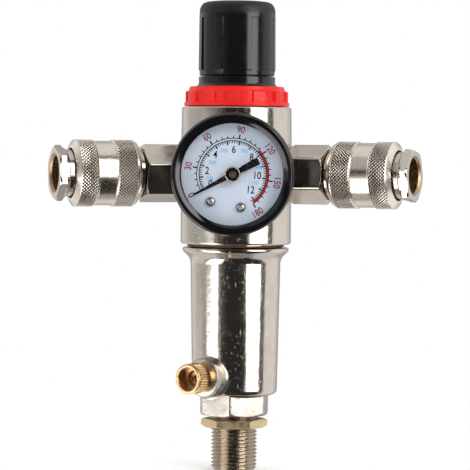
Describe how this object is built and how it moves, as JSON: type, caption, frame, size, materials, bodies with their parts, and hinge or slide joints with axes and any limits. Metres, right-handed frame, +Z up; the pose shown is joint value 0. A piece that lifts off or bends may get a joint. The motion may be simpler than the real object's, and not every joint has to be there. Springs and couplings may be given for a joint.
{
  "type": "filter regulator",
  "caption": "Compact air filter regulator: plated body and bowl, turn-to-set knob, front gauge, side quick couplers and a brass drain.",
  "frame": {"origin": "centre of the nipple's lower end face", "axes": "+Z up along the body axis, gauge towards -Y, couplers towards -X and +X"},
  "size_m": [0.1347, 0.0666, 0.1706],
  "materials": {
    "nickel": "bright nickel plate, lightly worn",
    "black_plastic": "glossy moulded",
    "inner_plastic": "matt moulded",
    "red_plastic": "semi-gloss moulded",
    "pale_brass": "pale machined brass",
    "brass": "machined",
    "sintered_bronze": "porous, matt",
    "steel": "drawn wire and bright pins",
    "black_rubber": "smooth",
    "brown_rubber": "smooth",
    "dial_face": "printed satin",
    "clear_lens": "clear"
  },
  "bodies": {
    "root": {"body": "nickel", "bowl": "nickel", "inlet_nipple": "nickel", "left_adapter": "nickel", "left_barrel": "nickel", "right_adapter": "nickel", "right_barrel": "nickel", "bonnet": "black_plastic", "gauge_case": "black_plastic", "gauge_bezel": "black_plastic", "valve_holder": "inner_plastic", "filter_retainer": "inner_plastic", "deflector": "inner_plastic", "lock_ring": "red_plastic", "jam_nut": "pale_brass", "gauge_socket": "brass", "bourdon_tube": "brass", "movement_frame": "brass", "filter_bolt": "brass", "filter_element": "sintered_bronze", "main_spring": "steel", "main_valve_spring": "steel", "dial_screw_left": "steel", "dial_screw_right": "steel", "left_sleeve_spring": "steel", "left_coupler_valve_spring": "steel", "right_sleeve_spring": "steel", "right_coupler_valve_spring": "steel", "diaphragm": "black_rubber", "left_plug_seal": "black_rubber", "right_plug_seal": "black_rubber", "bowl_seal": "brown_rubber", "gauge_dial": "dial_face", "gauge_lens": "clear_lens"},
    "screw": {"adjusting_screw": "steel"},
    "knob": {"adjusting_knob": "black_plastic"},
    "seat": {"spring_seat": "brass"},
    "plate": {"diaphragm_plate": "brass", "diaphragm_nut": "brass"},
    "valve": {"main_valve": "brass"},
    "drain_washer": {"drain_seal": "black_rubber"},
    "drain": {"drain_valve": "brass"},
    "needle": {"gauge_needle": "black_plastic", "pinion_arbor": "brass"},
    "sector": {"sector_gear": "brass"},
    "link": {"tube_link": "brass"},
    "left_sleeve_body": {"left_sleeve": "nickel", "left_retaining_ring": "steel"},
    "left_valve_body": {"left_coupler_valve": "brass"},
    "left_ball_body_1": {"left_ball_1": "steel"},
    "left_ball_body_2": {"left_ball_2": "steel"},
    "left_ball_body_3": {"left_ball_3": "steel"},
    "right_sleeve_body": {"right_sleeve": "nickel", "right_retaining_ring": "steel"},
    "right_valve_body": {"right_coupler_valve": "brass"},
    "right_ball_body_1": {"right_ball_1": "steel"},
    "right_ball_body_2": {"right_ball_2": "steel"},
    "right_ball_body_3": {"right_ball_3": "steel"}
  },
  "joints": [
    {"name": "knob_turn", "type": "hinge", "parent": "root", "child": "screw", "pos_m": [0, 0, 0.15], "axis": [0, 0, 1], "range_deg": [-1892, 0]},
    {"name": "knob_pull", "type": "slide", "parent": "screw", "child": "knob", "axis": [0, 0, 1], "range_m": [0, 0.003]},
    {"name": "spring_seat_travel", "type": "slide", "parent": "root", "child": "seat", "axis": [0, 0, -1], "range_m": [0, 0.00525], "deforming": ["main_spring"]},
    {"name": "diaphragm_travel", "type": "slide", "parent": "root", "child": "plate", "axis": [0, 0, -1], "range_m": [0, 0.0012], "stiffness_N_per_m": 1500, "springref_m": -0.0006, "deforming": ["diaphragm"]},
    {"name": "valve_lift", "type": "slide", "parent": "root", "child": "valve", "axis": [0, 0, -1], "range_m": [0, 0.00125], "deforming": ["main_valve_spring"]},
    {"name": "drain_travel", "type": "slide", "parent": "root", "child": "drain_washer", "axis": [-0.5736, -0.8192, 0], "range_m": [0, 0.0015]},
    {"name": "drain_turn", "type": "hinge", "parent": "drain_washer", "child": "drain", "pos_m": [0, 0, 0.0348], "axis": [-0.5736, -0.8192, 0], "range_deg": [0, 542]},
    {"name": "needle_turn", "type": "hinge", "parent": "root", "child": "needle", "pos_m": [0, -0.035, 0.1082], "axis": [0, 1, 0], "range_deg": [0, 265], "stiffness_Nm_per_rad": 0.001, "springref_deg": -11.46, "deforming": ["bourdon_tube"]},
    {"name": "sector_swing", "type": "hinge", "parent": "root", "child": "sector", "pos_m": [0.0046, -0.034, 0.09955], "axis": [0, 1, 0], "range_deg": [-50, 0]},
    {"name": "link_pivot", "type": "hinge", "parent": "sector", "child": "link", "pos_m": [0.00608, -0.0345, 0.09638], "axis": [0, 1, 0], "range_deg": [0, 50]},
    {"name": "left_sleeve_slide", "type": "slide", "parent": "root", "child": "left_sleeve_body", "axis": [0.9397, 0.342, 0], "range_m": [0, 0.0018], "stiffness_N_per_m": 1500, "springref_m": -0.004, "deforming": ["left_sleeve_spring"]},
    {"name": "left_valve_push", "type": "slide", "parent": "root", "child": "left_valve_body", "axis": [0.9397, 0.342, 0], "range_m": [0, 0.0035], "stiffness_N_per_m": 600, "springref_m": -0.004, "deforming": ["left_coupler_valve_spring"]},
    {"name": "left_ball_1_out", "type": "slide", "parent": "root", "child": "left_ball_body_1", "axis": [0, 0, 1], "range_m": [0, 0.00073]},
    {"name": "left_ball_2_out", "type": "slide", "parent": "root", "child": "left_ball_body_2", "axis": [-0.2962, 0.8138, -0.5], "range_m": [0, 0.00073]},
    {"name": "left_ball_3_out", "type": "slide", "parent": "root", "child": "left_ball_body_3", "axis": [0.2962, -0.8138, -0.5], "range_m": [0, 0.00073]},
    {"name": "right_sleeve_slide", "type": "slide", "parent": "root", "child": "right_sleeve_body", "axis": [-0.9397, 0.342, 0], "range_m": [0, 0.0018], "stiffness_N_per_m": 1500, "springref_m": -0.004, "deforming": ["right_sleeve_spring"]},
    {"name": "right_valve_push", "type": "slide", "parent": "root", "child": "right_valve_body", "axis": [-0.9397, 0.342, 0], "range_m": [0, 0.0035], "stiffness_N_per_m": 600, "springref_m": -0.004, "deforming": ["right_coupler_valve_spring"]},
    {"name": "right_ball_1_out", "type": "slide", "parent": "root", "child": "right_ball_body_1", "axis": [0, 0, 1], "range_m": [0, 0.00073]},
    {"name": "right_ball_2_out", "type": "slide", "parent": "root", "child": "right_ball_body_2", "axis": [-0.2962, -0.8138, -0.5], "range_m": [0, 0.00073]},
    {"name": "right_ball_3_out", "type": "slide", "parent": "root", "child": "right_ball_body_3", "axis": [0.2962, 0.8138, -0.5], "range_m": [0, 0.00073]}
  ],
  "couplings": [
    {"joint": "knob_turn", "follows": "spring_seat_travel", "rad_per_m": -6283.2},
    {"joint": "valve_lift", "follows": "diaphragm_travel", "ratio": 1},
    {"joint": "drain_turn", "follows": "drain_travel", "rad_per_m": 6283.2},
    {"joint": "sector_swing", "follows": "needle_turn", "ratio": -0.188},
    {"joint": "link_pivot", "follows": "needle_turn", "ratio": 0.188},
    {"joint": "left_ball_1_out", "follows": "left_sleeve_slide", "ratio": 0.4},
    {"joint": "left_ball_2_out", "follows": "left_sleeve_slide", "ratio": 0.4},
    {"joint": "left_ball_3_out", "follows": "left_sleeve_slide", "ratio": 0.4},
    {"joint": "right_ball_1_out", "follows": "right_sleeve_slide", "ratio": 0.4},
    {"joint": "right_ball_2_out", "follows": "right_sleeve_slide", "ratio": 0.4},
    {"joint": "right_ball_3_out", "follows": "right_sleeve_slide", "ratio": 0.4}
  ]
}
